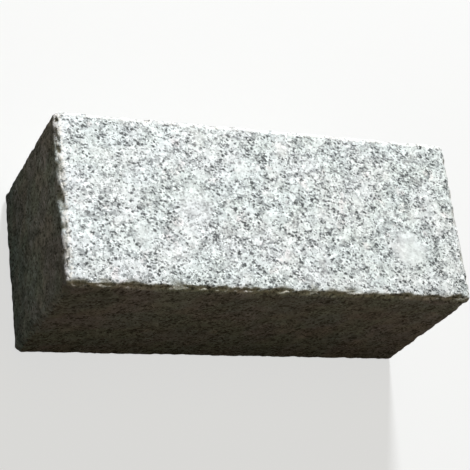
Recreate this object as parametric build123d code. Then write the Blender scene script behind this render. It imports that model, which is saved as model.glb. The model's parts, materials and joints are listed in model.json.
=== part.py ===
from build123d import *
import os
from math import cos, radians, tan

# A granite palisade block lying on its long side: six hammer-dressed faces that are each a little
# out of square, arrises broken off to narrow flats with soft crests, and chips along them. The
# origin is the middle of the base, +X runs along the length, the front faces -Y and +Z is up.
# Sizes are in millimetres.

# Driving dimensions
block_length = 250.0
block_width = 103.8
block_height = 108.3
crest_radius = 2.8

# How far each face is out of square, in degrees. A side face leans out towards the top, and stands
# further out towards the right end or the back. The top rises towards the back and the left end.
front_lean = 0.73
front_skew = -0.16
back_lean = 0.75
back_skew = -0.25
left_lean = -0.25
left_skew = 0.04
right_lean = -0.34
right_skew = -0.05
top_rise_back = 0.28
top_rise_left = 0.10

# How far the arrises are broken off. Each break is a flat that starts at the first distance from
# the sharp arris and ends at the second, both on the arris's first face. The share is how much
# further down its second face the flat reaches.
top_front_break = (3.4, 2.6, 0.95)
top_left_break = (3.0, 3.3, 0.95)
top_back_break = (3.0, 2.6, 0.9)
top_right_break = (2.6, 2.9, 1.0)
base_front_break = (2.4, 2.1, 1.1)
base_back_break = (2.2, 2.6, 1.0)
base_left_break = (2.3, 2.5, 1.0)
base_right_break = (2.6, 2.2, 0.9)
front_left_break = (2.4, 3.0, 1.0)
front_right_break = (2.2, 2.5, 1.1)
back_left_break = (2.3, 2.7, 0.9)
back_right_break = (2.6, 2.4, 1.0)

# Chips along the arrises that show their breaks, as (station, depth, length, lean). The station is
# the distance from the arris's first corner, or back from its last corner where it is negative. The
# depth is below the middle of the flat. The lean turns the chip towards the first face (up to 1) or
# towards the second (down to -1). Scoops are round shell-like chips, spalls are flat ones.
top_front_scoops = [
    (7.0, 1.0, 10.0, 0.3), (22.5, 1.1, 7.5, 0.4), (62.5, 1.3, 9.5, 0.5),
    (157.0, 1.2, 8.0, 0.5), (206.0, 0.8, 7.0, 0.4), (-9.0, 1.0, 10.0, 0.4),
]
top_front_spalls = [
    (34.5, 1.0, 7.0, 0.4), (44.0, 0.6, 6.0, 0.1), (90.0, 0.5, 9.0, 0.2), (104.0, 0.7, 8.0, 0.3),
    (126.5, 0.9, 6.5, 0.3), (144.0, 1.0, 6.0, 0.5), (166.0, 0.8, 7.0, 0.4), (182.0, 0.6, 8.0, 0.2),
    (218.0, 0.7, 6.0, 0.3), (-18.0, 0.8, 6.0, 0.3),
]
top_left_scoops = [(19.0, 1.0, 6.5, -0.3), (53.0, 1.5, 15.0, -0.4), (61.0, 1.4, 7.0, 0.0)]
top_left_spalls = [(36.0, 1.0, 12.0, -0.2), (76.0, 0.6, 8.0, 0.1), (85.5, 1.0, 6.0, -0.3)]
top_back_scoops = [(48.0, 0.9, 10.0, 0.1), (-72.0, 1.1, 9.0, -0.2)]
top_back_spalls = [(20.0, 0.7, 8.0, 0.0), (97.0, 0.9, 9.0, 0.2), (-28.0, 1.0, 10.0, 0.0)]
top_right_scoops = [(-27.0, 1.0, 8.0, 0.2)]
top_right_spalls = [(19.0, 0.8, 8.0, 0.0), (48.0, 0.9, 9.0, 0.2)]

# The other arrises have chips at about an even spacing, between a shallow and a deep size
hidden_chip_spacing = 27.0
hidden_chip_shallow = 0.6
hidden_chip_deep = 1.3
hidden_chip_length = 8.5

# How far the eight corners are knocked off below the point where their three breaks meet
top_corner_depth = 1.4
base_corner_depth = 1.1

# A flat spall drops steeply at one end and runs out slowly at the other
spall_steep_share = 0.28


# A face that passes through its middle point, turned from square by two small angles: it stands
# further out along each of the two ways as it goes that way
def dressed_face(middle, outward, first_way, first_angle, second_way, second_angle):
    normal = Vector(outward) - Vector(first_way) * tan(radians(first_angle))
    normal = normal - Vector(second_way) * tan(radians(second_angle))
    return Plane(origin=middle, z_dir=normal.normalized())


# The point that three planes share
def corner_of(first, second, third):
    a, b, c = first.z_dir, second.z_dir, third.z_dir
    shared = b.cross(c) * a.dot(first.origin)
    shared = shared + c.cross(a) * b.dot(second.origin)
    shared = shared + a.cross(b) * c.dot(third.origin)
    return shared * (1 / a.dot(b.cross(c)))


# The line where two faces meet, from the corner with one end face to the corner with the other,
# and the flat that breaks it off
class Arris:
    def __init__(self, first, second, start_face, end_face, break_size):
        self.start = corner_of(first, second, start_face)
        end = corner_of(first, second, end_face)
        self.length = (end - self.start).length
        self.along = (end - self.start).normalized()
        self.first_normal = first.z_dir
        self.second_normal = second.z_dir
        self.start_leg, self.end_leg, self.second_share = break_size
        start_crest, start_foot = self.flat_edges(0)
        end_crest = self.flat_edges(self.length)[0]
        across = start_foot - start_crest
        normal = across.cross(end_crest - start_crest).normalized()
        if normal.dot(self.outward(0)) < 0:
            normal = normal * -1
        self.flat = Plane(origin=start_crest, z_dir=normal)

    # The way out of the stone at the arris, leaning towards one of its faces
    def outward(self, lean):
        out = self.first_normal * (1 + lean) + self.second_normal * (1 - lean)
        return out.normalized()

    # The two edges of the flat at a distance along the arris: on the first face, on the second
    def flat_edges(self, distance):
        leg = self.start_leg + (self.end_leg - self.start_leg) * distance / self.length
        square_turn = self.first_normal.dot(self.second_normal)
        down_first = (self.first_normal * square_turn - self.second_normal).normalized()
        down_second = (self.second_normal * square_turn - self.first_normal).normalized()
        spot = self.start + self.along * distance
        return spot + down_first * leg, spot + down_second * leg * self.second_share

    # The middle of the flat at a station
    def middle(self, station):
        distance = station if station >= 0 else self.length + station
        crest, foot = self.flat_edges(distance)
        return (crest + foot) * 0.5


# A shell-like chip: a ball that bites to the depth, as wide along the arris as the length
def scoop(arris, station, depth, length, lean):
    ball_radius = (length ** 2 / 4 + depth ** 2) / (2 * depth)
    centre = arris.middle(station) + arris.outward(lean) * (ball_radius - depth)
    return Pos(*centre) * Sphere(ball_radius)


# A flat chip: a three-sided notch across the arris, steep at its first end and slow at its last
def spall(arris, station, depth, length, lean):
    out = arris.outward(lean)
    across = arris.along.cross(out)
    notch_plane = Plane(origin=arris.middle(station), x_dir=arris.along, z_dir=across)
    steep = length * spall_steep_share
    slow = length - steep
    notch = Polyline((0, -depth), (2 * slow, depth), (-2 * steep, depth), close=True)
    half_width = 2 * (depth + max(arris.start_leg, arris.end_leg))
    return extrude(notch_plane * make_face(notch), amount=half_width, both=True)


# Chips at an uneven rhythm along an arris: every second one is a scoop
def hidden_chips(arris):
    count = max(1, round(arris.length / hidden_chip_spacing))
    pitch = arris.length / count
    cutters = []
    for index in range(count):
        sway = (index * 0.618 + arris.length * 0.01) % 1
        station = pitch * (index + 0.3 + 0.4 * sway)
        depth = hidden_chip_shallow + (hidden_chip_deep - hidden_chip_shallow) * sway
        length = hidden_chip_length * (0.8 + 0.4 * sway)
        cut = scoop if index % 2 else spall
        cutters.append(cut(arris, station, depth, length, 0.8 * (sway - 0.5)))
    return cutters


# A flat across a corner, below the point where the three breaks would meet
def corner_flat(first, second, third, depth):
    out = (first.flat.z_dir + second.flat.z_dir + third.flat.z_dir).normalized()
    tip = corner_of(first.flat, second.flat, third.flat)
    return Plane(origin=tip - out * depth, z_dir=out)


# The six dressed faces
half_length, half_width, half_height = block_length / 2, block_width / 2, block_height / 2
right_way, back_way, up_way = (1, 0, 0), (0, 1, 0), (0, 0, 1)
left_way, front_way, down_way = (-1, 0, 0), (0, -1, 0), (0, 0, -1)
base = Plane(origin=(0, 0, 0), z_dir=down_way)
top = dressed_face((0, 0, block_height), up_way, back_way, top_rise_back, left_way, top_rise_left)
front = dressed_face(
    (0, -half_width, half_height), front_way, right_way, front_skew, up_way, front_lean)
back = dressed_face(
    (0, half_width, half_height), back_way, right_way, back_skew, up_way, back_lean)
left = dressed_face(
    (-half_length, 0, half_height), left_way, back_way, left_skew, up_way, left_lean)
right = dressed_face(
    (half_length, 0, half_height), right_way, back_way, right_skew, up_way, right_lean)

# The arrises, each from left to right, from back to front, or from the base up
top_front = Arris(top, front, left, right, top_front_break)
top_back = Arris(top, back, left, right, top_back_break)
top_left = Arris(top, left, back, front, top_left_break)
top_right = Arris(top, right, back, front, top_right_break)
base_front = Arris(base, front, left, right, base_front_break)
base_back = Arris(base, back, left, right, base_back_break)
base_left = Arris(base, left, back, front, base_left_break)
base_right = Arris(base, right, back, front, base_right_break)
front_left = Arris(front, left, base, top, front_left_break)
front_right = Arris(front, right, base, top, front_right_break)
back_left = Arris(back, left, base, top, back_left_break)
back_right = Arris(back, right, base, top, back_right_break)
hidden_arrises = [
    base_front, base_back, base_left, base_right, front_left, front_right, back_left, back_right]

# The rough blank, larger than the block all round, cut back to the faces and the breaks, and then
# its crests are softened
spare = block_height
blank = Box(block_length + spare, block_width + spare, block_height + 2 * spare)
blank = Pos(0, 0, half_height) * blank
flats = [base, top, front, back, left, right]
flats += [arris.flat for arris in (top_front, top_back, top_left, top_right, *hidden_arrises)]
for flat in flats:
    blank = split(blank, bisect_by=flat, keep=Keep.BOTTOM)
block = fillet(blank.edges(), crest_radius)

# The corners knocked off
for top_pair, upright, base_pair in (
    ((top_front, top_left), front_left, (base_front, base_left)),
    ((top_front, top_right), front_right, (base_front, base_right)),
    ((top_back, top_left), back_left, (base_back, base_left)),
    ((top_back, top_right), back_right, (base_back, base_right)),
):
    for pair, depth in ((top_pair, top_corner_depth), (base_pair, base_corner_depth)):
        block = split(block, bisect_by=corner_flat(*pair, upright, depth), keep=Keep.BOTTOM)

# The chips
cutters = []
for arris, scoops, spalls in (
    (top_front, top_front_scoops, top_front_spalls),
    (top_left, top_left_scoops, top_left_spalls),
    (top_back, top_back_scoops, top_back_spalls),
    (top_right, top_right_scoops, top_right_spalls),
):
    cutters += [scoop(arris, *chip) for chip in scoops]
    cutters += [spall(arris, *chip) for chip in spalls]
for arris in hidden_arrises:
    cutters += hidden_chips(arris)

for cutter in cutters:
    block = block - cutter

# The middle of the base's outline goes to the origin
extent = block.bounding_box()
centre = extent.center()
block = Pos(-centre.X, -centre.Y, -extent.min.Z) * block

os.makedirs("parts", exist_ok=True)
export_step(block.solid(), "parts/palisade_block.step")
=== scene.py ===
import json
import math
import bpy
import numpy as np
from mathutils import Matrix, Vector


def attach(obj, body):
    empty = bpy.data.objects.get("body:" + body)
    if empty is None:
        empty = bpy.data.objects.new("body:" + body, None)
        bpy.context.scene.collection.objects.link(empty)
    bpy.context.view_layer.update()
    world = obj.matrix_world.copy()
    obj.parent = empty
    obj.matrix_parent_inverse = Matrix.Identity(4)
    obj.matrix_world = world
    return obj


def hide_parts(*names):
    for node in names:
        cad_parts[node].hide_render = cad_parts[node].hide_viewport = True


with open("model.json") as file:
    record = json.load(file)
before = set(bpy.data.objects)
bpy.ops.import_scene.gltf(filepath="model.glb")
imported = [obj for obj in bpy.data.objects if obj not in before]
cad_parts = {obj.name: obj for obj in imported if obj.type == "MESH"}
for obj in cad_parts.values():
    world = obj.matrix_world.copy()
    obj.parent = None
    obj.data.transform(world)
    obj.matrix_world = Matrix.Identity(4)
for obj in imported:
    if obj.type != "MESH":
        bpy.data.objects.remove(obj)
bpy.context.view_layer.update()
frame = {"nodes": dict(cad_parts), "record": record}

scene = bpy.context.scene
print("frame loaded:", sorted(frame["nodes"]))


# Each flat face of the solid is a point and an outward normal, read from the record's mounts
faceNames = {"base": "base", "top": "top", "front": "front", "back": "back",
             "left": "left_end", "right": "right_end"}
mountOf = {mount["name"]: mount for mount in frame["record"]["mounts"]}
facePoint = {side: np.array(mountOf[name]["pos_m"]) for side, name in faceNames.items()}
faceNormal = {side: np.array(mountOf[name]["axis"]) for side, name in faceNames.items()}


# The point where three faces meet: it solves normal . point = distance for all three
def cornerOf(sides):
    normals = np.array([faceNormal[side] for side in sides])
    distances = np.array([faceNormal[side] @ facePoint[side] for side in sides])
    return np.linalg.solve(normals, distances)


# The eight sharp corners, indexed by left or right, front or back, and base or top
sharpCorners = np.array([[[cornerOf((x, y, z)) for z in ("base", "top")]
                          for y in ("front", "back")] for x in ("left", "right")])


noiseTable = (131, 61, 67)  # random values along each axis before the noise repeats
dotTable = (97, 53, 59)
latticeStart = 1000.0       # the block lies this many cells from the lattice's start, so none is negative


# Smooth noise: a random value at each corner of a cubic lattice, blended by 3t^2 - 2t^3 along each axis
def smoothNoise(points, cell, seed):
    table = np.random.default_rng(seed).random(noiseTable)
    sizes = np.array(table.shape)
    at = points / cell + latticeStart
    low = np.floor(at).astype(np.int64)
    t = at - low
    t = t * t * (3 - 2 * t)
    total = np.zeros(len(points))
    for dx in (0, 1):
        for dy in (0, 1):
            for dz in (0, 1):
                index = (low + (dx, dy, dz)) % sizes
                weight = (np.where(dx, t[:, 0], 1 - t[:, 0]) * np.where(dy, t[:, 1], 1 - t[:, 1])
                          * np.where(dz, t[:, 2], 1 - t[:, 2]))
                total += weight * table[index[:, 0], index[:, 1], index[:, 2]]
    return total * 2 - 1


# Several octaves of smooth noise added, each of half the cell and a share of the strength of the last
def roughNoise(points, cell, seed, octaves=3, share=0.55):
    total, strength, strengthSum = np.zeros(len(points)), 1.0, 0.0
    for octave in range(octaves):
        total += strength * smoothNoise(points, cell / 2 ** octave, seed + octave)
        strengthSum += strength
        strength *= share
    return total / strengthSum


# Scattered dots: the distance from each point to the nearest of one random dot per cubic cell,
# with that dot's own random number. Distance is in cells.
def scatteredDots(points, cell, seed):
    rng = np.random.default_rng(seed)
    table = rng.random(dotTable + (4,))  # a dot's place in its cell, and its number
    sizes = np.array(table.shape[:3])
    at = points / cell + latticeStart
    low = np.floor(at).astype(np.int64)
    nearest, number = np.full(len(points), np.inf), np.zeros(len(points))
    for dx in (-1, 0, 1):
        for dy in (-1, 0, 1):
            for dz in (-1, 0, 1):
                cellAt = low + (dx, dy, dz)
                index = cellAt % sizes
                dot = table[index[:, 0], index[:, 1], index[:, 2]]
                distance = np.linalg.norm(cellAt + dot[:, :3] - at, axis=1)
                closer = distance < nearest
                nearest[closer] = distance[closer]
                number[closer] = dot[closer, 3]
    return nearest, number


# 0 below the first limit, 1 above the second, smooth between
def rise(low, high, value):
    t = np.clip((value - low) / (high - low), 0, 1)
    return t * t * (3 - 2 * t)


# The granite block. Lengths are in metres.
block = {
    "arrisRadius": 0.0042,      # rounding of the grid before it is pulled onto the solid
    "arrisStrip": 0.0060,       # width beside each arris that has the fine grid
    "fineStep": 0.00060,        # grid step across that strip
    "step": 0.00126,            # grid step on the flats
    "raggedSeed": 400,
    "raggedShift": 0.0009,      # how far the chips' outlines are pushed to and fro
    "raggedSize": 0.0035,
    "solidReach": 0.012,        # how far from the grid the solid is looked for
    "softPull": 0.5,            # how far the soft arrises are pulled from the rounding onto the solid
    "softFull": 0.7,            # how near an arris that share is reached, from 0 to 1
    "chipStart": 0.0006,        # what lies deeper than this is a chip, and keeps its whole depth
    "cornerReach": 0.0080,      # the corners are pulled onto the solid all the way
    "cornerFull": 0.6,
    "wearRounds": 9,            # rounds of smoothing along the worn arrises
    "wearReach": 0.0085,
    "wearShare": 0.5,           # how strong a round is, and how strong along the soft arrises
    "softWearShare": 1.0,
    "softArrises": (("top", "left"), ("top", "front"), ("top", "back"), ("top", "right")),
    "reliefSeed": 7,
    "pitSpacing": 0.0042,       # the hammer's blows
    "pitDepth": 0.00030,
    "pitRadius": 0.75,          # in spacings
    "pitShallow": 0.35,         # the shallowest pit's share of that depth
    "grainRelief": 0.00022,     # grains standing or plucked between the blows
    "grainSize": 0.0032,
    "waveDepth": 0.00025,       # slow unevenness of the dressed faces
    "waveSize": 0.030,
    "crumbleDepth": 0.00120,    # extra loss along the arrises
    "crumbleSize": 0.0030,
    "crumbleReach": 0.0050,
    "crumbleRange": (-0.25, 0.75),  # the noise's values where it starts and where it is whole
    "biteDepth": 0.00125,       # larger losses along the soft arrises
    "biteSize": 0.0048,
    "biteReach": 0.0055,
    "biteRange": (0.0, 0.40),
    "arrisMark": 0.007,         # width of the marks that the material reads along the arrises
    "crestMark": 0.007,
    "backCrestMark": 0.008,
    "backCrestShare": 0.6,      # the crest along the back is fainter than the one along the left end
    "bandMark": 0.008,
    "chipMark": (0.0003, 0.0010),   # depth of the solid's chips where their mark starts and is whole
    "crestFacing": (0.3, 0.7),      # how far up the crests face, and the next how far to the front
    "bandFacing": (0.30, 0.60),
    "frontFacing": (0.90, 1.0),     # the band ends where the front starts
    "flatFacing": (0.4, 0.9),       # from a side to the top or the base
    "dullFacing": (0.4, 0.9),       # from the other faces to the front or the left end
    "mapMargin": 0.004,         # gap between the faces on the flat map
}


# Places along one axis, from 0 to 1: fine steps in the strips at both ends, even steps between
def gradedPlaces(length, spec):
    strip = np.linspace(0, spec["arrisStrip"], round(spec["arrisStrip"] / spec["fineStep"]) + 1)
    inner = length - 2 * spec["arrisStrip"]
    flat = spec["arrisStrip"] + np.linspace(0, inner, round(inner / spec["step"]) + 1)
    return np.concatenate([strip[:-1], flat, length - strip[-2::-1]]) / length


# The surface of a box as six grids of two parameters, with the points on shared edges merged.
# Gives each point's whole-number place on the three axes, the quads with their outward turn, the
# face that each quad is on, and its corners' places.
def boxLattice(counts):
    places, quads, faceOf = [], [], []
    start = 0
    for axis in range(3):
        first, second = (axis + 1) % 3, (axis + 2) % 3
        for end in (0, counts[axis]):
            i, j = np.meshgrid(np.arange(counts[first] + 1), np.arange(counts[second] + 1),
                               indexing="ij")
            grid = np.zeros(i.shape + (3,), np.int64)
            grid[..., axis], grid[..., first], grid[..., second] = end, i, j
            number = start + np.arange(i.size).reshape(i.shape)
            ring = [number[:-1, :-1], number[1:, :-1], number[1:, 1:], number[:-1, 1:]]
            ring = ring if end else ring[::-1]
            quads.append(np.stack(ring, -1).reshape(-1, 4))
            faceOf.append(np.full(len(quads[-1]), 2 * axis + bool(end)))
            places.append(grid.reshape(-1, 3))
            start += i.size
    places, quads = np.concatenate(places), np.concatenate(quads)
    gridPlaces = places[quads]
    unique, merged = np.unique(places, axis=0, return_inverse=True)
    return unique, merged.reshape(-1)[quads], np.concatenate(faceOf), gridPlaces


# A point of the sharp block from three shares: the eight corners blended along each axis
def blendCorners(shares):
    total = np.zeros((len(shares), 3))
    for x in (0, 1):
        for y in (0, 1):
            for z in (0, 1):
                weight = np.ones(len(shares))
                for axis, end in enumerate((x, y, z)):
                    weight = weight * (shares[:, axis] if end else 1 - shares[:, axis])
                total += weight[:, None] * sharpCorners[x, y, z]
    return total


# The rounded block: each point of the sharp block is pulled to the arris radius from the nearest
# point of a block that is smaller by that radius all round. Also gives the way out at each point.
def roundedPoints(shares, lengths, radius):
    inset = radius / lengths
    core = blendCorners(np.clip(shares, inset, 1 - inset))
    out = blendCorners(shares) - core
    out /= np.linalg.norm(out, axis=1)[:, None]
    return core + out * radius, out


# How close each point is to an arris: 1 on it, falling to 0 at the reach. The distance is the
# second smallest of the distances to the chosen faces, since two of them meet at an arris. At a
# corner three meet, and the third smallest counts.
def nearArris(points, reach, sides=tuple(faceNames), meeting=2):
    depths = np.stack([(facePoint[side] - points) @ faceNormal[side] for side in sides], 1)
    last = np.partition(depths, meeting - 1, axis=1)[:, meeting - 1]
    return 1 - rise(0, reach, last)


# How close each point is to the nearest of the soft arrises, from 0 to 1
def nearSoftArris(points, reach, spec):
    return np.max([nearArris(points, reach, sides) for sides in spec["softArrises"]], 0)


# How far the surface lies below the dressed block, in metres: hammer pits, each a round dish that
# follows 1 - d^2, plus rough noise for the grains and slow noise for the waves. Near the arrises a
# crumbled loss is added, and near the soft ones larger bites, both from smooth steps of rough
# noise. All of it goes inwards.
def reliefDepth(points, spec):
    seed = spec["reliefSeed"]
    distance, number = scatteredDots(points, spec["pitSpacing"], seed)
    pits = np.clip(1 - (distance / spec["pitRadius"]) ** 2, 0, 1)
    pits *= spec["pitShallow"] + (1 - spec["pitShallow"]) * number
    grains = 0.5 + 0.5 * roughNoise(points, spec["grainSize"], seed + 10, 2)
    waves = 0.5 + 0.5 * roughNoise(points, spec["waveSize"], seed + 20, 2)
    edge = nearArris(points, spec["crumbleReach"])
    soft = nearSoftArris(points, spec["biteReach"], spec)
    broken = rise(*spec["crumbleRange"], roughNoise(points, spec["crumbleSize"], seed + 30, 2, 0.6))
    bitten = rise(*spec["biteRange"], roughNoise(points, spec["biteSize"], seed + 40, 2))
    return (spec["pitDepth"] * pits + spec["grainRelief"] * grains + spec["waveDepth"] * waves
            + spec["crumbleDepth"] * edge * broken + spec["biteDepth"] * soft * bitten)


# A mesh from arrays of points and quads
def meshFrom(name, points, quads):
    mesh = bpy.data.meshes.new(name)
    mesh.vertices.add(len(points))
    mesh.vertices.foreach_set("co", points.astype(np.float32).ravel())
    mesh.loops.add(quads.size)
    mesh.loops.foreach_set("vertex_index", quads.astype(np.int32).ravel())
    mesh.polygons.add(len(quads))
    mesh.polygons.foreach_set("loop_start", np.arange(0, quads.size, 4, dtype=np.int32))
    mesh.update(calc_edges=True)
    mesh.polygons.foreach_set("use_smooth", np.ones(len(quads), bool))
    return mesh


# How far out of each point, along its normal, the solid's surface lies: a shrinkwrap straight
# along the normals, so that every chip of the solid is in the grid
def heightOnSolid(points, outward, quads, node, reach):
    mesh = meshFrom("probe", points, quads)
    probe = bpy.data.objects.new("probe", mesh)
    scene.collection.objects.link(probe)
    wrap = probe.modifiers.new("ontoSolid", "SHRINKWRAP")
    wrap.target = node
    wrap.wrap_method = "PROJECT"
    wrap.use_negative_direction = True
    wrap.use_positive_direction = True
    wrap.project_limit = reach
    depsgraph = bpy.context.evaluated_depsgraph_get()
    wrapped = probe.evaluated_get(depsgraph).data
    flat = np.empty(len(wrapped.vertices) * 3, np.float32)
    wrapped.vertices.foreach_get("co", flat)
    bpy.data.objects.remove(probe)
    bpy.data.meshes.remove(mesh)
    return ((flat.reshape(-1, 3) - points) * outward).sum(1)


# Shares moved to and fro by smooth noise along the axes that run across a point's own face
def raggedShares(shares, points, spec, span):
    push = np.stack([roughNoise(points, spec["raggedSize"], spec["raggedSeed"] + 10 * axis, 2)
                     for axis in range(3)], 1)
    moved = np.clip(shares + push * spec["raggedShift"] / span, 0, 1)
    return np.where((shares == 0) | (shares == 1), shares, moved)


# Points drawn halfway to the mean of their neighbours, times a weight from 0 to 1, in several rounds
def worn(points, quads, weight, rounds):
    pairs = np.concatenate([quads[:, [0, 1]], quads[:, [1, 2]], quads[:, [2, 3]], quads[:, [3, 0]]])
    count = np.bincount(pairs[:, 0], minlength=len(points))[:, None]
    for _ in range(rounds):
        total = np.stack([np.bincount(pairs[:, 0], points[pairs[:, 1], axis], len(points))
                          for axis in range(3)], 1)
        points = points + 0.5 * weight[:, None] * (total / count - points)
    return points


# A flat map of the six grids, side by side in one square: each corner's
# place is its distance along the face plus the face's own start, over the size of the sheet
def mapOfGrids(gridPlaces, faceOf, places, lengths, margin):
    length, width, height = lengths
    corners = {  # the lower corner of each grid on the sheet, and the two axes that run across and up
        4: (0, 0, 0, 1), 5: (0, width + margin, 0, 1),
        2: (0, 2 * (width + margin), 0, 2), 3: (0, 2 * (width + margin) + height + margin, 0, 2),
        0: (length + margin, 0, 1, 2), 1: (length + margin, height + margin, 1, 2),
    }
    sheet = 2 * (width + height) + 4 * margin
    uv = np.zeros(gridPlaces.shape[:2] + (2,))
    for face, (left, low, across, up) in corners.items():
        chosen = faceOf == face
        for slot, (start, axis) in enumerate(((left, across), (low, up))):
            along = places[axis][gridPlaces[chosen][..., axis]] * lengths[axis]
            uv[chosen, :, slot] = (start + margin / 2 + along) / sheet
    return uv


# Marks that the material reads, each from 0 to 1 at every point: how near an arris it is, the
# crests beside the top, pale with crushed stone and painted highlight, the band along its front that
# takes painted shade, how upright the face is, whether it is the front or the left end, and how deep a
# chip goes
def markSurface(mesh, points, outward, chipped, spec):
    frontShare = outward @ faceNormal["front"]
    leftShare = outward @ faceNormal["left"]
    # The crests beside the top that face the light take pale flecks, partly crushed stone and partly
    # painted highlight
    crest = np.maximum(nearArris(points, spec["crestMark"], ("top", "left")),
                       spec["backCrestShare"] * nearArris(points, spec["backCrestMark"], ("top", "back")))
    band = nearArris(points, spec["bandMark"], ("top", "front"))
    marks = {
        "arris": nearArris(points, spec["arrisMark"]),
        "crest": crest * rise(*spec["crestFacing"], outward[:, 2]),
        "band": (band * rise(*spec["bandFacing"], frontShare)
                 * (1 - rise(*spec["frontFacing"], frontShare))),
        "side": 1 - rise(*spec["flatFacing"], np.abs(outward[:, 2])),
        "dull": rise(*spec["dullFacing"], np.maximum(frontShare, leftShare)),
        "chip": rise(*spec["chipMark"], chipped),
    }
    for name, values in marks.items():
        attribute = mesh.attributes.new(name, "FLOAT", "POINT")
        attribute.data.foreach_set("value", values.astype(np.float32))


# The block: a rounded grid is moved along its normals onto the solid, all the way on the flats, in
# the chips and at the corners and partly along the soft arrises, then worn, then cut by the relief
def makeBlock(spec):
    node = frame["nodes"]["palisade_block"]
    span = sharpCorners.max((0, 1, 2)) - sharpCorners.min((0, 1, 2))
    places = [gradedPlaces(length, spec) for length in span]
    lattice, quads, faceOf, gridPlaces = boxLattice([len(p) - 1 for p in places])
    shares = np.stack([places[axis][lattice[:, axis]] for axis in range(3)], 1)
    points, outward = roundedPoints(shares, span, spec["arrisRadius"])
    moved = raggedShares(shares, points, spec, span)
    ragged, raggedOut = roundedPoints(moved, span, spec["arrisRadius"])
    height = heightOnSolid(ragged, raggedOut, quads, node, spec["solidReach"])
    soft = nearSoftArris(points, spec["wearReach"], spec)
    corner = nearArris(points, spec["cornerReach"], meeting=3)
    held = rise(0.0, spec["softFull"], soft) * (1 - rise(0.0, spec["cornerFull"], corner))
    pull = 1 - (1 - spec["softPull"]) * held
    inChip = np.minimum(height + spec["chipStart"], 0)
    onSolid = points + outward * ((height - inChip) * pull + inChip)[:, None]
    wear = np.maximum(spec["wearShare"] * nearArris(onSolid, spec["wearReach"]),
                      spec["softWearShare"] * soft)
    onSolid = worn(onSolid, quads, wear, spec["wearRounds"])
    depth = reliefDepth(onSolid, spec)
    depth -= depth.min()
    mesh = meshFrom("granite_palisade", onSolid - outward * depth[:, None], quads)
    piece = bpy.data.objects.new("granite_palisade", mesh)
    scene.collection.objects.link(piece)
    markSurface(mesh, onSolid, outward, -height, spec)
    uv = mapOfGrids(gridPlaces, faceOf, places, span, spec["mapMargin"])
    layer = mesh.uv_layers.new(name="OFBake")
    layer.uv.foreach_set("vector", uv.astype(np.float32).ravel())
    mesh.update()
    print("block: %d quads, deepest relief %.2f mm, deepest chip %.2f mm"
          % (len(quads), depth.max() * 1000, -height.min() * 1000))
    return piece


granitePiece = makeBlock(block)
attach(granitePiece, "root")
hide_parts("palisade_block")


# Adds a node, sets its options and its unlinked inputs, and returns it
def addNode(tree, kind, inputs=None, **options):
    node = tree.nodes.new(kind)
    for name, value in options.items():
        setattr(node, name, value)
    for name, value in (inputs or {}).items():
        if isinstance(value, bpy.types.NodeSocket):
            tree.links.new(value, node.inputs[name])
        else:
            node.inputs[name].default_value = value
    return node


# A Math node from two values or sockets
def mathOf(tree, operation, a, b):
    return addNode(tree, "ShaderNodeMath", {0: a, 1: b}, operation=operation).outputs[0]


# A smooth step of a value between two limits
def stepOf(tree, value, low, high, smooth=True):
    kind = "SMOOTHSTEP" if smooth else "LINEAR"
    return addNode(tree, "ShaderNodeMapRange", {"Value": value, "From Min": low, "From Max": high},
                   interpolation_type=kind).outputs["Result"]


# One colour laid over another by a mask. The Mix node's sockets for colours are its last.
def overlay(tree, mask, under, over, mode="MIX"):
    mix = addNode(tree, "ShaderNodeMix", data_type="RGBA", blend_type=mode)
    for index, value in ((0, mask), (6, under), (7, over)):
        if isinstance(value, bpy.types.NodeSocket):
            tree.links.new(value, mix.inputs[index])
        else:
            mix.inputs[index].default_value = value
    return mix.outputs[2]


# A new group with its sockets, and its inner input and output nodes
def newGroup(name, inputs, outputs):
    tree = bpy.data.node_groups.new(name, "ShaderNodeTree")
    for socketName, kind, value in inputs:
        socket = tree.interface.new_socket(socketName, in_out="INPUT", socket_type=kind)
        if value is not None:
            socket.default_value = value
    for socketName, kind in outputs:
        tree.interface.new_socket(socketName, in_out="OUTPUT", socket_type=kind)
    return tree, tree.nodes.new("NodeGroupInput"), tree.nodes.new("NodeGroupOutput")


grainPattern = {
    "wobble": 1.3,              # waves of the warp in one grain
    "wobbleDetail": 2.0, "wobbleRoughness": 0.6,
    "tilt": (0.5, 0.4, 0.6),    # the long grains lie askew to the block's faces
}


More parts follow.
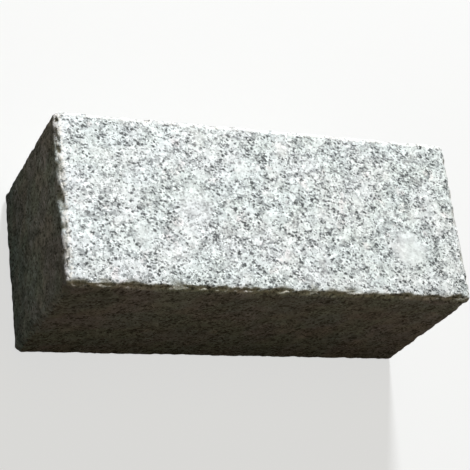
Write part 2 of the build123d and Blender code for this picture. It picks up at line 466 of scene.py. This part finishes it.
# Mineral grains: space is split into warped cells, each with its own random number. A share of the
# cells is picked by that number, and the mask fades a little around that share.
def grainGroup(pattern):
    tree, given, result = newGroup(
        "mineralGrains",
        [("Position", "NodeSocketVector", None), ("Size", "NodeSocketFloat", 3.0),
         ("Stretch", "NodeSocketFloat", 1.0), ("Warp", "NodeSocketFloat", 1.0),
         ("Share", "NodeSocketFloat", 0.3), ("Fade", "NodeSocketFloat", 0.05),
         ("Offset", "NodeSocketVector", None)],
        [("Mask", "NodeSocketFloat"), ("Number", "NodeSocketFloat")])
    size = given.outputs["Size"]
    wobble = addNode(tree, "ShaderNodeTexNoise", {
        "Vector": given.outputs["Position"], "Scale": mathOf(tree, "DIVIDE", pattern["wobble"], size),
        "Detail": pattern["wobbleDetail"], "Roughness": pattern["wobbleRoughness"]})
    centred = addNode(tree, "ShaderNodeVectorMath", {0: wobble.outputs["Color"], 1: (0.5, 0.5, 0.5)},
                      operation="SUBTRACT")
    push = addNode(tree, "ShaderNodeVectorMath", {0: centred.outputs[0], "Scale": given.outputs["Warp"]},
                   operation="SCALE")
    moved = addNode(tree, "ShaderNodeVectorMath", {0: given.outputs["Position"], 1: push.outputs[0]},
                    operation="ADD")
    shifted = addNode(tree, "ShaderNodeVectorMath", {0: moved.outputs[0], 1: given.outputs["Offset"]},
                      operation="ADD")
    tilted = addNode(tree, "ShaderNodeVectorRotate", {
        "Vector": shifted.outputs[0], "Rotation": pattern["tilt"]}, rotation_type="EULER_XYZ")
    stretched = addNode(tree, "ShaderNodeCombineXYZ", {
        "X": mathOf(tree, "DIVIDE", 1.0, given.outputs["Stretch"]), "Y": 1.0, "Z": 1.0})
    squeezed = addNode(tree, "ShaderNodeVectorMath", {0: tilted.outputs[0], 1: stretched.outputs[0]},
                       operation="MULTIPLY")
    cells = addNode(tree, "ShaderNodeTexVoronoi", {
        "Vector": squeezed.outputs[0], "Scale": mathOf(tree, "DIVIDE", 1.0, size), "Randomness": 1.0})
    parts = addNode(tree, "ShaderNodeSeparateColor", {"Color": cells.outputs["Color"]})
    number = parts.outputs["Red"]
    low = mathOf(tree, "SUBTRACT", given.outputs["Share"], given.outputs["Fade"])
    high = mathOf(tree, "ADD", given.outputs["Share"], given.outputs["Fade"])
    picked = addNode(tree, "ShaderNodeMapRange", {
        "Value": number, "From Min": low, "From Max": high, "To Min": 1.0, "To Max": 0.0})
    tree.links.new(picked.outputs["Result"], result.inputs["Mask"])
    tree.links.new(parts.outputs["Green"], result.inputs["Number"])
    return tree


# The granite's finish. Lengths are in millimetres. A cover is how strong a layer is, and a range
# gives the values where its mask starts and where it is whole.
graniteLook = {
    "grains": {  # size, place in the pattern, warp, stretch and fade
        "feldspar": (1.7, (0, 0, 0), 2.0, 1.0, 0.04),
        "quartz": (1.35, (17, 3, 5), 2.0, 1.0, 0.04),
        "mica": (1.0, (5, 29, 11), 1.1, 1.8, 0.04),
        "smallMica": (0.68, (41, 13, 2), 0.6, 1.5, 0.04),
        "bigMica": (1.9, (11, 6, 23), 1.8, 1.3, 0.01),
    },
    "patches": {  # size, detail, roughness and place in the noise
        "cluster": (7.0, 3, 0.6, (3, 50, 9)),
        "pink": (9.0, 2, 0.5, (31, 7, 3)),
        "seamGaps": (3.0, 2, 0.6, (9, 2, 14)),
        "bruise": (14.0, 3, 0.55, (8, 8, 60)),
        "mottle": (5.0, 3, 0.6, (12, 44, 7)),
        "chipDirt": (2.5, 3, 0.6, (22, 4, 9)),
        "crushed": (1.7, 3, 0.65, (2, 4, 90)),
        "grime": (26.0, 3, 0.6, (4, 71, 3)),
        "blotch": (6.0, 4, 0.65, (63, 22, 8)),
        "fineBump": (0.9, 3, 0.6, (70, 1, 1)),
        "crumbs": (1.4, 3, 0.65, (1, 33, 5)),
        "coolTint": (26.0, 1, 0.5, (5, 61, 18)),
        "warmTint": (19.0, 1, 0.5, (27, 3, 41)),
    },
    "feldsparDark": (0.61, 0.65, 0.64, 1), "feldsparLight": (0.88, 0.915, 0.91, 1),
    "pink": (0.82, 0.72, 0.71, 1), "pinkRange": (0.60, 0.72), "pinkCover": 0.35,
    "clusterRange": (0.32, 0.68),
    "quartz": (0.24, 0.26, 0.26, 1), "quartzPale": (0.56, 0.59, 0.585, 1), "quartzShare": 0.30,
    "mica": (0.04, 0.044, 0.045, 1), "micaShare": 0.115, "micaCover": 0.95,
    "smallMicaShare": 0.09, "smallMicaCover": 0.8,
    "bigMicaShare": 0.012, "bigMicaCover": 0.85,
    "seam": (0.16, 0.17, 0.17, 1), "seamSize": 3.4, "seamWidth": 0.07, "seamCover": 0.75,
    "seamGapRange": (0.50, 0.62), "seamBend": 3.0, "seamBendScale": 0.6,  # patches per mm
    "bruise": (0.88, 0.90, 0.88, 1), "bruiseRange": (0.55, 0.75), "bruiseCover": 0.6,
    "blow": (0.79, 0.815, 0.81, 1), "blowFade": (1.2, 0.7),  # in radii
    "blowShake": 16.0, "blowShakeScale": 0.16,  # how ragged their outlines are, and patches per mm
    "blows": (  # the larger pale bruises of the top: place, radius and cover
        (87.0, -21.0, 11.0, 0.78), (-45.0, 0.0, 11.5, 0.42), (-79.5, -20.5, 6.5, 0.5),
    ),
    "mottleRange": (0.3, 0.7), "mottleShare": 0.20,
    "leftTone": (1.05, 1.05, 1.06, 1), "rightTone": (0.94, 0.94, 0.93, 1),  # lighter to the left
    "halfLength": 125.0,
    "tints": (  # slow changes of colour: the patches, and the tint at either end
        ("coolTint", (0.945, 1.012, 0.99, 1), (1.055, 0.988, 1.01, 1)),
        ("warmTint", (1.0, 1.0, 0.955, 1), (1.0, 1.0, 1.045, 1)),
    ),
    "tintRange": (0.38, 0.62),
    "cleanTint": 0.20,          # the tints' share on the faces other than the front and the left end
    "chipTone": (0.40, 0.40, 0.32, 1), "chipDirtRange": (0.35, 0.6), "chipCover": 0.6,
    "arrisTone": (0.92, 0.89, 0.84, 1),
    "fleckPlace": (0.25, 0.6), "fleckRange": (0.50, 0.66), "fleckCover": 0.5,
    # the crests' pale flecks are partly crushed stone and partly painted highlight where the light
    # strikes them
    "crestPlace": (0.1, 0.6), "crestRange": (0.42, 0.56), "crestCover": 0.85,
    # painted shade: this tone darkens and browns the break along the front of the top
    "bandShadeTone": (0.66, 0.59, 0.50, 1), "bandCover": 0.85,
    "grimeGreen": (0.50, 0.54, 0.47, 1), "grimeRed": (0.57, 0.51, 0.47, 1),
    "grimeRange": (0.42, 0.58), "grimeShare": 0.20,
    "blotchDark": (0.80, 0.80, 0.79, 1), "blotchLight": (1.17, 1.17, 1.18, 1),
    "blotchRange": (0.38, 0.62), "blotchPlace": (-118.0, -123.0),  # from here to the left
    # painted shade: the sides darken within this reach of the left end's upper front corner
    "shadeCorner": (-125.0, -52.0, 108.0), "shadeReach": 74.0, "paintedShadeTone": (0.74, 0.73, 0.73, 1),
    "roughness": 0.82, "quartzRoughness": 0.52, "specular": 0.35,
    "bumpDistance": 0.0003,     # in metres
    "bumpStrength": 0.5, "micaDip": 0.25,
    "crumbPlace": (0.2, 0.7), "arrisBump": 3.4,
}


# The granite: minerals laid over one another grain by grain, then bruises and slow changes of tone,
# then dirt, crushed flecks, painted shade and painted highlight where the marks are, and a fine bump
def makeGranite(look):
    material = bpy.data.materials.new("hammeredGranite")
    material.use_nodes = True
    tree = material.node_tree
    tree.nodes.clear()
    grains = grainGroup(grainPattern)
    place = addNode(tree, "ShaderNodeTexCoord")
    inMillimetres = addNode(tree, "ShaderNodeMapping", {"Vector": place.outputs["Object"],
                                                        "Scale": (1000.0, 1000.0, 1000.0)})
    position = inMillimetres.outputs[0]

    # The outputs of a grain group that picks a share of its cells
    def grainsOf(name, share):
        size, offset, warp, stretch, fade = look["grains"][name]
        return addNode(tree, "ShaderNodeGroup", {
            "Size": size, "Share": share, "Warp": warp, "Stretch": stretch, "Fade": fade,
            "Offset": offset, "Position": position}, node_tree=grains).outputs

    # Noise in patches, each kind from its own place
    def patchesOf(name):
        size, detail, roughness, offset = look["patches"][name]
        shifted = addNode(tree, "ShaderNodeMapping", {"Vector": position, "Location": offset})
        return addNode(tree, "ShaderNodeTexNoise", {
            "Vector": shifted.outputs[0], "Scale": 1.0 / size, "Detail": detail,
            "Roughness": roughness}).outputs["Fac"]

    def product(a, b):
        return mathOf(tree, "MULTIPLY", a, b)

    # One of the marks on the block's surface
    def markOf(name):
        return addNode(tree, "ShaderNodeAttribute", attribute_name=name).outputs["Fac"]

    # Feldspar ground: cells of slightly different white. Only their numbers are read, not the mask.
    feldspar = grainsOf("feldspar", 0.5)
    colour = overlay(tree, feldspar["Number"], look["feldsparDark"], look["feldsparLight"])
    # Pink feldspar in a few faint patches
    pinkMask = stepOf(tree, patchesOf("pink"), *look["pinkRange"])
    colour = overlay(tree, product(pinkMask, look["pinkCover"]), colour, look["pink"])
    # Grey quartz, in clusters. Their mask is half on average, so the share is doubled.
    cluster = stepOf(tree, patchesOf("cluster"), *look["clusterRange"])
    quartz = grainsOf("quartz", product(cluster, look["quartzShare"] * 2))
    quartzColour = overlay(tree, quartz["Number"], look["quartz"], look["quartzPale"])
    colour = overlay(tree, quartz["Mask"], colour, quartzColour)
    # Dark mica flakes, in three sizes
    mica = grainsOf("mica", product(cluster, look["micaShare"] * 2))
    colour = overlay(tree, product(mica["Mask"], look["micaCover"]), colour, look["mica"])
    smallMica = grainsOf("smallMica", look["smallMicaShare"])
    colour = overlay(tree, product(smallMica["Mask"], look["smallMicaCover"]), colour, look["mica"])
    bigMica = grainsOf("bigMica", look["bigMicaShare"])
    colour = overlay(tree, product(bigMica["Mask"], look["bigMicaCover"]), colour, look["mica"])
    # Dark seams between the grains, broken off here and there
    wobble = addNode(tree, "ShaderNodeTexNoise", {
        "Vector": position, "Scale": look["seamBendScale"], "Detail": 2.0})
    bent = addNode(tree, "ShaderNodeVectorMath", {0: wobble.outputs["Color"], "Scale": look["seamBend"]},
                   operation="SCALE")
    seamPlace = addNode(tree, "ShaderNodeVectorMath", {0: position, 1: bent.outputs[0]},
                        operation="ADD")
    border = addNode(tree, "ShaderNodeTexVoronoi", {
        "Vector": seamPlace.outputs[0], "Scale": 1 / look["seamSize"]}, feature="DISTANCE_TO_EDGE")
    seam = stepOf(tree, border.outputs["Distance"], look["seamWidth"], 0.0)
    seam = product(seam, stepOf(tree, patchesOf("seamGaps"), *look["seamGapRange"]))
    colour = overlay(tree, product(seam, look["seamCover"]), colour, look["seam"])
    # Slightly bruised stone in patches where the hammer struck
    bruised = stepOf(tree, patchesOf("bruise"), *look["bruiseRange"])
    colour = overlay(tree, product(bruised, look["bruiseCover"]), colour, look["bruise"])
    # The larger bruises of the top: a mask from the distance to each one's middle, shaken by noise
    topHeight = facePoint["top"][2] * 1000
    shaken = addNode(tree, "ShaderNodeTexNoise", {
        "Vector": position, "Scale": look["blowShakeScale"], "Detail": 3.0})
    centred = addNode(tree, "ShaderNodeVectorMath", {0: shaken.outputs["Color"], 1: (0.5, 0.5, 0.5)},
                      operation="SUBTRACT")
    uneven = addNode(tree, "ShaderNodeVectorMath", {
        0: centred.outputs[0], 1: (look["blowShake"],) * 3, 2: position}, operation="MULTIPLY_ADD")
    for x, y, radius, cover in look["blows"]:
        apart = addNode(tree, "ShaderNodeVectorMath", {0: uneven.outputs[0], 1: (x, y, topHeight)},
                        operation="DISTANCE")
        start, whole = look["blowFade"]
        spot = stepOf(tree, apart.outputs["Value"], radius * start, radius * whole)
        colour = overlay(tree, product(spot, cover), colour, look["blow"])
    # A slow change of tone from the left end to the right
    along = addNode(tree, "ShaderNodeSeparateXYZ", {"Vector": position}).outputs["X"]
    alongShare = stepOf(tree, along, -look["halfLength"], look["halfLength"], smooth=False)
    endTone = overlay(tree, alongShare, look["leftTone"], look["rightTone"])
    side = markOf("side")
    colour = overlay(tree, mathOf(tree, "SUBTRACT", 1.0, side), colour, endTone, "MULTIPLY")
    # Slow changes of colour, and a mottling of light and dark
    tintShare = addNode(tree, "ShaderNodeMapRange", {
        "Value": markOf("dull"), "To Min": look["cleanTint"]})
    for name, oneEnd, otherEnd in look["tints"]:
        tint = overlay(tree, stepOf(tree, patchesOf(name), *look["tintRange"]), oneEnd, otherEnd)
        colour = overlay(tree, tintShare.outputs["Result"], colour, tint, "MULTIPLY")
    low, high = look["mottleRange"]
    mottle = addNode(tree, "ShaderNodeMapRange", {
        "Value": patchesOf("mottle"), "From Min": low, "From Max": high,
        "To Min": 1 - look["mottleShare"], "To Max": 1 + look["mottleShare"]}, clamp=False)
    colour = addNode(tree, "ShaderNodeVectorMath", {0: colour, "Scale": mottle.outputs["Result"]},
                     operation="SCALE").outputs[0]
    # Olive dirt in the chips
    dirty = product(markOf("chip"), stepOf(tree, patchesOf("chipDirt"), *look["chipDirtRange"]))
    colour = overlay(tree, product(dirty, look["chipCover"]), colour, look["chipTone"])
    # Crushed, cream-white flecks along the arrises. On the crests beside the top that face the light
    # there are more, partly crushed stone and partly painted highlight
    arris = markOf("arris")
    crushed = patchesOf("crushed")
    for mark, layer in ((arris, "fleck"), (markOf("crest"), "crest")):
        fleck = product(stepOf(tree, mark, *look[layer + "Place"]),
                        stepOf(tree, crushed, *look[layer + "Range"]))
        colour = overlay(tree, product(fleck, look[layer + "Cover"]), colour, look["arrisTone"])
    # Painted shade darkens and browns the break along the front of the top, and a film of grime evens out
    # the sides
    bandShadeMask = product(markOf("band"), look["bandCover"])
    colour = overlay(tree, bandShadeMask, colour, look["bandShadeTone"], "MULTIPLY")
    grime = overlay(tree, stepOf(tree, patchesOf("grime"), *look["grimeRange"]),
                    look["grimeGreen"], look["grimeRed"])
    colour = overlay(tree, product(side, look["grimeShare"]), colour, grime)
    # The left end is blotched, and painted shade darkens the sides towards its front corner
    blotch = overlay(tree, stepOf(tree, patchesOf("blotch"), *look["blotchRange"]),
                     look["blotchDark"], look["blotchLight"])
    onLeftEnd = product(stepOf(tree, along, *look["blotchPlace"]), side)
    colour = overlay(tree, onLeftEnd, colour, blotch, "MULTIPLY")
    fromCorner = addNode(tree, "ShaderNodeVectorMath", {0: position, 1: look["shadeCorner"]},
                         operation="DISTANCE")
    cornerShade = stepOf(tree, fromCorner.outputs["Value"], look["shadeReach"], 0.0)
    colour = overlay(tree, product(cornerShade, side), colour, look["paintedShadeTone"], "MULTIPLY")

    # A fine bump all over, lower in the mica, with crumbs along the arrises
    height = mathOf(tree, "SUBTRACT", patchesOf("fineBump"), product(mica["Mask"], look["micaDip"]))
    crumbShare = product(stepOf(tree, arris, *look["crumbPlace"]), look["arrisBump"])
    height = mathOf(tree, "ADD", height, product(patchesOf("crumbs"), crumbShare))
    bump = addNode(tree, "ShaderNodeBump", {
        "Strength": look["bumpStrength"], "Distance": look["bumpDistance"], "Height": height})
    gloss = addNode(tree, "ShaderNodeMapRange", {
        "Value": quartz["Mask"], "To Min": look["roughness"], "To Max": look["quartzRoughness"]})
    shader = addNode(tree, "ShaderNodeBsdfPrincipled", {
        "Base Color": colour, "Roughness": gloss.outputs["Result"], "Normal": bump.outputs[0],
        "Specular IOR Level": look["specular"]})
    output = addNode(tree, "ShaderNodeOutputMaterial")
    tree.links.new(shader.outputs[0], output.inputs[0])
    return material


granitePiece.data.materials.append(makeGranite(graniteLook))
print("granite material made")


# The studio. Lengths are in metres.
studio = {
    "floorSize": 14.0, "floorRoughness": 0.9,
    "floorWhite": (0.80, 0.80, 0.79, 1),
    "floorGlow": 0.72, "floorGlowGain": 1.15,   # the share of the white that glows, and its gain
    "floorBounce": (0.203, 0.163, 0.124, 1),    # what the block's sides see, as on dark ground
    "blockHalf": (0.125, 0.052, 1.0),           # half the block's plan, and more than its height
    "groundReach": 0.28, "groundNear": 0.05,    # painted shade: the ground darkens towards the block, down to a share
    "keyPlace": (0.44, 2.47, 2.03), "keySize": 0.45, "keyPower": 171.5,
    "keyColour": (0.935, 0.962, 1.0),
    "skyPlace": (0.0, 0.0, 1.4), "skySize": 0.9, "skyPower": 2.6, "skyColour": (1.0, 0.92, 0.66),
    "lampAim": (0.0, 0.0, 0.05),
    "worldFront": (0.0570, 0.0308, 0.0105, 1), "worldLeft": (0.0595, 0.0840, 0.0750, 1),
    "worldTurn": (0.2, -0.8),                   # from the front's colour to the left's, along X
    "worldStrength": 0.6,
}


# A white floor for the camera. The block's sides see a dim ground instead, with painted shade darkening
# it near the block.
def makeFloor(spec):
    half = spec["floorSize"] / 2
    corners = [(-half, -half, 0), (half, -half, 0), (half, half, 0), (-half, half, 0)]
    mesh = bpy.data.meshes.new("floor")
    mesh.from_pydata(corners, [], [(0, 1, 2, 3)])
    floor = bpy.data.objects.new("floor", mesh)
    scene.collection.objects.link(floor)
    material = bpy.data.materials.new("paleFloor")
    material.use_nodes = True
    tree = material.node_tree
    tree.nodes.clear()
    glow = spec["floorGlow"]
    seen = addNode(tree, "ShaderNodeBsdfPrincipled", {
        "Base Color": [c * (1 - glow) for c in spec["floorWhite"][:3]] + [1],
        "Roughness": spec["floorRoughness"], "Specular IOR Level": 0.0,
        "Emission Color": spec["floorWhite"], "Emission Strength": glow * spec["floorGlowGain"]})
    # The distance from the block's plan: what |x| and |y| exceed its half sizes by
    place = addNode(tree, "ShaderNodeTexCoord").outputs["Object"]
    aside = addNode(tree, "ShaderNodeVectorMath", {0: place}, operation="ABSOLUTE")
    beyond = addNode(tree, "ShaderNodeVectorMath", {0: aside.outputs[0], 1: spec["blockHalf"]},
                     operation="SUBTRACT")
    outside = addNode(tree, "ShaderNodeVectorMath", {0: beyond.outputs[0], 1: (0, 0, 0)},
                      operation="MAXIMUM")
    away = addNode(tree, "ShaderNodeVectorMath", {0: outside.outputs[0]}, operation="LENGTH")
    # Painted shade: the dim ground darkens towards the block
    shade = addNode(tree, "ShaderNodeMapRange", {
        "Value": away.outputs["Value"], "From Min": 0.0, "From Max": spec["groundReach"],
        "To Min": spec["groundNear"], "To Max": 1.0})
    shadedSoil = addNode(tree, "ShaderNodeVectorMath", {
        0: spec["floorBounce"][:3], "Scale": shade.outputs["Result"]}, operation="SCALE")
    ground = addNode(tree, "ShaderNodeBsdfDiffuse", {"Color": shadedSoil.outputs[0]})
    ray = addNode(tree, "ShaderNodeLightPath")
    either = addNode(tree, "ShaderNodeMixShader", {
        0: ray.outputs["Is Camera Ray"], 1: ground.outputs[0], 2: seen.outputs[0]})
    addNode(tree, "ShaderNodeOutputMaterial", {"Surface": either.outputs[0]})
    mesh.materials.append(material)
    floor.visible_glossy = False
    floor.visible_shadow = False


# A round soft light that looks at the block
def makeSoftLight(name, spec):
    light = bpy.data.lights.new(name, "AREA")
    light.shape = "DISK"
    light.size = spec[name + "Size"]
    light.energy = spec[name + "Power"]
    light.color = spec[name + "Colour"]
    place = Vector(spec[name + "Place"])
    lamp = bpy.data.objects.new(name, light)
    lamp.location = place
    lamp.rotation_euler = (Vector(spec["lampAim"]) - place).to_track_quat("-Z", "Y").to_euler()
    scene.collection.objects.link(lamp)


# A dim surround of one colour to the front and another to the left
def makeWorld(spec):
    world = bpy.data.worlds.new("studio")
    world.use_nodes = True
    tree = world.node_tree
    tree.nodes.clear()
    way = addNode(tree, "ShaderNodeTexCoord").outputs["Generated"]
    parts = addNode(tree, "ShaderNodeSeparateXYZ", {"Vector": way})
    toLeft = stepOf(tree, parts.outputs["X"], *spec["worldTurn"])
    colour = overlay(tree, toLeft, spec["worldFront"], spec["worldLeft"])
    background = addNode(tree, "ShaderNodeBackground", {
        "Color": colour, "Strength": spec["worldStrength"]})
    output = addNode(tree, "ShaderNodeOutputWorld")
    tree.links.new(background.outputs[0], output.inputs[0])
    scene.world = world


makeFloor(studio)
makeSoftLight("key", studio)
makeSoftLight("sky", studio)
makeWorld(studio)
scene.view_settings.view_transform = "Standard"
print("studio made")


# The camera, at the photo's angle
cameraView = {
    "aim": (-0.02435, -0.01817, 0.10799),  # where the middle of the picture meets the top face
    "distance": 0.8500, "azimuth": -44.606, "elevation": 56.263, "roll": 42.524,
    "lens": 116.45, "sensor": 36.0,
}


# The camera stands back from its aim along the azimuth and elevation, then turns about its own
# line of sight by the roll, anticlockwise as seen in the picture
def makeCamera(spec):
    azimuth, elevation = math.radians(spec["azimuth"]), math.radians(spec["elevation"])
    back = Vector((math.sin(azimuth) * math.cos(elevation), -math.cos(azimuth) * math.cos(elevation),
                   math.sin(elevation)))
    across = Vector((0, 0, 1)).cross(back).normalized()
    upright = back.cross(across)
    roll = math.radians(spec["roll"])
    right = across * math.cos(roll) + upright * math.sin(roll)
    up = back.cross(right)
    data = bpy.data.cameras.new("camera")
    data.lens, data.sensor_width = spec["lens"], spec["sensor"]
    camera = bpy.data.objects.new("camera", data)
    spot = Vector(spec["aim"]) + back * spec["distance"]
    camera.matrix_world = Matrix((
        (right.x, up.x, back.x, spot.x), (right.y, up.y, back.y, spot.y),
        (right.z, up.z, back.z, spot.z), (0, 0, 0, 1)))
    scene.collection.objects.link(camera)
    scene.camera = camera


makeCamera(cameraView)
print("camera set")
